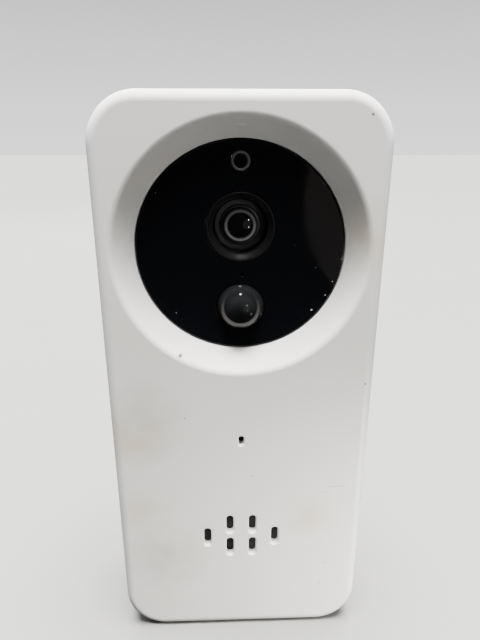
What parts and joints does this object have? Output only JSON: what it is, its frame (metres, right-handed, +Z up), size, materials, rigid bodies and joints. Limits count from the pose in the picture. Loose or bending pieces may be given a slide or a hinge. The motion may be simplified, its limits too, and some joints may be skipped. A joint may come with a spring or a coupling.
{
  "type": "video doorbell",
  "caption": "Upright battery doorbell with a camera and motion sensor in a round black push disc, speaker slots below, hung on a wall plate.",
  "frame": {"origin": "middle of the wall plate's rear face, level with the middle of the case's height", "axes": "+Z up, +Y into the wall; the front with the camera faces -Y and +X is to the right seen from the front"},
  "size_m": [0.06, 0.026, 0.132],
  "materials": {
    "white_plastic": "fine satin moulding",
    "grey_plastic": "matt moulding",
    "black_plastic": "matt moulding",
    "black_acrylic": "polished, clear to infra-red",
    "smoky_dome": "glossy tinted moulding",
    "dark_lens": "coated",
    "filter_glass": "coated filter glass",
    "steel": "zinc plated",
    "tinplate": "bright tinplate",
    "circuit_board": "solder mask",
    "chip_epoxy": "moulded epoxy",
    "clear_resin": "clear resin",
    "brass": "plated",
    "rubber": "matt",
    "cloth": "fine acoustic weave",
    "cell_sleeve": "shrink sleeve",
    "red_lead": "wire jacket",
    "black_lead": "wire jacket"
  },
  "bodies": {
    "wall_plate": {"wall_plate": "grey_plastic"},
    "unit": {"front_shell": "white_plastic", "rear_housing": "white_plastic", "housing_seal": "rubber", "case_screw_1": "steel", "case_screw_2": "steel", "case_screw_3": "steel", "case_screw_4": "steel", "return_spring_1": "steel", "return_spring_2": "steel", "return_spring_3": "steel", "bell_switch_body": "chip_epoxy", "main_board": "circuit_board", "board_screw_1": "steel", "board_screw_2": "steel", "board_screw_3": "steel", "lens_holder": "black_plastic", "lens_barrel": "black_plastic", "lens_glass": "dark_lens", "image_sensor": "chip_epoxy", "motion_sensor": "tinplate", "light_sensor": "clear_resin", "status_light": "clear_resin", "infrared_light_1": "clear_resin", "infrared_light_2": "clear_resin", "infrared_light_3": "clear_resin", "infrared_light_4": "clear_resin", "processor": "chip_epoxy", "radio_module": "tinplate", "antenna": "brass", "microphone": "tinplate", "microphone_boot": "rubber", "speaker_mesh": "cloth", "speaker_gasket": "rubber", "speaker_basket": "black_plastic", "speaker_cone": "black_plastic", "speaker_magnet": "tinplate", "cell_cradle": "black_plastic", "lithium_cell_1": "cell_sleeve", "lithium_cell_2": "cell_sleeve", "cell_link": "tinplate", "battery_lead": "red_lead", "board_lead": "black_lead", "charge_board": "circuit_board", "charge_socket": "tinplate", "reset_switch": "chip_epoxy", "power_switch": "tinplate", "tamper_switch": "chip_epoxy"},
    "bell_push": {"push_disc": "black_acrylic", "disc_carrier": "black_plastic", "lens_bezel": "black_plastic", "motion_dome": "smoky_dome", "light_sensor_ring": "grey_plastic", "light_pipe": "dark_lens"},
    "bell_switch_plunger": {"bell_switch_plunger": "black_plastic"},
    "day_night_filter": {"day_night_filter": "filter_glass"},
    "tamper_plunger": {"tamper_plunger": "grey_plastic"},
    "port_flap": {"port_flap": "rubber"},
    "reset_button": {"reset_button": "grey_plastic"},
    "power_slider": {"power_slider": "black_plastic"}
  },
  "joints": [
    {"name": "unit_lift", "type": "slide", "parent": "wall_plate", "child": "unit", "axis": [0, 0, 1], "range_m": [0, 0.008]},
    {"name": "bell_press", "type": "slide", "parent": "unit", "child": "bell_push", "axis": [0, 1, 0], "range_m": [0, 0.0007], "stiffness_N_per_m": 900, "springref_m": -0.0012, "deforming": ["return_spring_1", "return_spring_2", "return_spring_3"]},
    {"name": "bell_switch_travel", "type": "slide", "parent": "unit", "child": "bell_switch_plunger", "axis": [0, 1, 0], "range_m": [0, 0.0007]},
    {"name": "filter_switch", "type": "slide", "parent": "unit", "child": "day_night_filter", "axis": [1, 0, 0], "range_m": [0, 0.0055]},
    {"name": "tamper_follow", "type": "slide", "parent": "unit", "child": "tamper_plunger", "axis": [0, 1, 0], "range_m": [0, 0.0015]},
    {"name": "flap_hinge", "type": "hinge", "parent": "unit", "child": "port_flap", "pos_m": [0, -0.0116, -0.0657], "axis": [1, 0, 0], "range_deg": [0, 100]},
    {"name": "reset_press", "type": "slide", "parent": "unit", "child": "reset_button", "axis": [0, 0, 1], "range_m": [0, 0.0004], "stiffness_N_per_m": 300, "springref_m": -0.001},
    {"name": "power_slide", "type": "slide", "parent": "unit", "child": "power_slider", "axis": [1, 0, 0], "range_m": [0, 0.002]}
  ],
  "couplings": [
    {"joint": "bell_switch_travel", "follows": "bell_press", "ratio": 1},
    {"joint": "tamper_follow", "follows": "unit_lift", "ratio": 0.1875}
  ]
}
